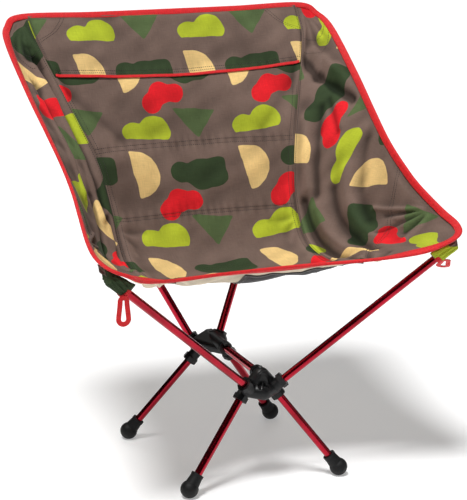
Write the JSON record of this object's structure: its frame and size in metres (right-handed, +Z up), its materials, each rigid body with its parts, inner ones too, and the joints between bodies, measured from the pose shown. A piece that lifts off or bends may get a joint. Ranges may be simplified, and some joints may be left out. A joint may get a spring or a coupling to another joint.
{
  "type": "ultralight camp chair",
  "caption": "Low folding camp chair: a fabric bucket seat with red edging hung on thin red anodised poles, two black hubs on a crossbar, and legs with ball feet.",
  "frame": {"origin": "on the floor, below the centre of the chair's bounding box", "axes": "+Z up, -Y is the way the sitter faces, +X is the sitter's left"},
  "size_m": [0.561, 0.5108, 0.6558],
  "materials": {
    "red_alloy": "anodised crimson, glossy",
    "bare_alloy": "plain drawn tube",
    "pin_steel": "dark, satin",
    "hub_nylon": "moulded black nylon",
    "tip_nylon": "moulded black nylon",
    "foot_rubber": "matte black",
    "shock_cord": "braided elastic cord",
    "printed_fabric": "taupe polyester with a printed blob pattern",
    "red_binding": "bright red ribbed tape",
    "red_webbing": "bright red webbing",
    "pocket_fabric": "dark taupe heavy polyester",
    "black_fabric": "black ripstop"
  },
  "bodies": {
    "root": {"front_hub": "hub_nylon", "rear_hub": "hub_nylon", "crossbar": "red_alloy", "crossbar_pins": "pin_steel", "front_cord_left": "shock_cord", "front_cord_right": "shock_cord", "rear_cord_left": "shock_cord", "rear_cord_right": "shock_cord", "centre_panel": "printed_fabric", "side_panel_left": "printed_fabric", "side_panel_right": "printed_fabric", "back_yoke": "printed_fabric", "yoke_binding": "red_binding", "edge_binding": "red_binding", "front_pocket_left": "pocket_fabric", "front_pocket_right": "pocket_fabric", "rear_pocket_left": "pocket_fabric", "rear_pocket_right": "pocket_fabric", "front_mouth_binding_left": "red_binding", "front_mouth_binding_right": "red_binding", "under_seat_pouch": "black_fabric"},
    "front_leg_left_body": {"front_leg_left": "red_alloy", "front_foot_left": "foot_rubber"},
    "rear_leg_left_body": {"rear_leg_left": "red_alloy", "rear_foot_left": "foot_rubber"},
    "front_pole_left_body": {"front_pole_left": "red_alloy", "front_tip_left": "tip_nylon"},
    "rear_lower_left_body": {"rear_lower_pole_left": "red_alloy", "ferrule_left": "bare_alloy"},
    "rear_upper_left_body": {"rear_upper_pole_left": "red_alloy", "rear_tip_left": "tip_nylon"},
    "pull_loop_left_body": {"pull_loop_left": "red_webbing"},
    "front_leg_right_body": {"front_leg_right": "red_alloy", "front_foot_right": "foot_rubber"},
    "rear_leg_right_body": {"rear_leg_right": "red_alloy", "rear_foot_right": "foot_rubber"},
    "front_pole_right_body": {"front_pole_right": "red_alloy", "front_tip_right": "tip_nylon"},
    "rear_lower_right_body": {"rear_lower_pole_right": "red_alloy", "ferrule_right": "bare_alloy"},
    "rear_upper_right_body": {"rear_upper_pole_right": "red_alloy", "rear_tip_right": "tip_nylon"},
    "pull_loop_right_body": {"pull_loop_right": "red_webbing"}
  },
  "joints": [
    {"name": "front_leg_left_pull", "type": "slide", "parent": "root", "child": "front_leg_left_body", "axis": [0.595, -0.1758, -0.7843], "range_m": [0, 0.028], "stiffness_N_per_m": 90, "springref_m": -0.1333, "deforming": ["front_cord_left"]},
    {"name": "rear_leg_left_pull", "type": "slide", "parent": "root", "child": "rear_leg_left_body", "axis": [0.5754, 0.2447, -0.7804], "range_m": [0, 0.028], "stiffness_N_per_m": 90, "springref_m": -0.1333, "deforming": ["rear_cord_left"]},
    {"name": "front_pole_left_pull", "type": "slide", "parent": "root", "child": "front_pole_left_body", "axis": [0.7291, -0.2467, 0.6384], "range_m": [0, 0.006], "stiffness_N_per_m": 60, "springref_m": -0.2},
    {"name": "rear_lower_left_pull", "type": "slide", "parent": "root", "child": "rear_lower_left_body", "axis": [0.4234, 0.3076, 0.8522], "range_m": [0, 0.005], "stiffness_N_per_m": 60, "springref_m": -0.2},
    {"name": "rear_upper_left_pull", "type": "slide", "parent": "rear_lower_left_body", "child": "rear_upper_left_body", "axis": [0.4234, 0.3076, 0.8522], "range_m": [0, 0.005], "stiffness_N_per_m": 60, "springref_m": -0.2},
    {"name": "front_leg_right_pull", "type": "slide", "parent": "root", "child": "front_leg_right_body", "axis": [-0.595, -0.1758, -0.7843], "range_m": [0, 0.028], "stiffness_N_per_m": 90, "springref_m": -0.1333, "deforming": ["front_cord_right"]},
    {"name": "rear_leg_right_pull", "type": "slide", "parent": "root", "child": "rear_leg_right_body", "axis": [-0.5754, 0.2447, -0.7804], "range_m": [0, 0.028], "stiffness_N_per_m": 90, "springref_m": -0.1333, "deforming": ["rear_cord_right"]},
    {"name": "front_pole_right_pull", "type": "slide", "parent": "root", "child": "front_pole_right_body", "axis": [-0.7291, -0.2467, 0.6384], "range_m": [0, 0.006], "stiffness_N_per_m": 60, "springref_m": -0.2},
    {"name": "rear_lower_right_pull", "type": "slide", "parent": "root", "child": "rear_lower_right_body", "axis": [-0.4234, 0.3076, 0.8522], "range_m": [0, 0.005], "stiffness_N_per_m": 60, "springref_m": -0.2},
    {"name": "rear_upper_right_pull", "type": "slide", "parent": "rear_lower_right_body", "child": "rear_upper_right_body", "axis": [-0.4234, 0.3076, 0.8522], "range_m": [0, 0.005], "stiffness_N_per_m": 60, "springref_m": -0.2},
    {"name": "pull_loop_right_swing", "type": "hinge", "parent": "root", "child": "pull_loop_right_body", "pos_m": [-0.245, -0.2428, 0.339], "axis": [1, 0, 0], "range_deg": [-60, 8], "stiffness_Nm_per_rad": 0.01},
    {"name": "pull_loop_left_swing", "type": "hinge", "parent": "root", "child": "pull_loop_left_body", "pos_m": [0.2534, -0.2321, 0.3377], "axis": [0.9205, -0.3907, 0], "range_deg": [-40, 15], "stiffness_Nm_per_rad": 0.01}
  ]
}
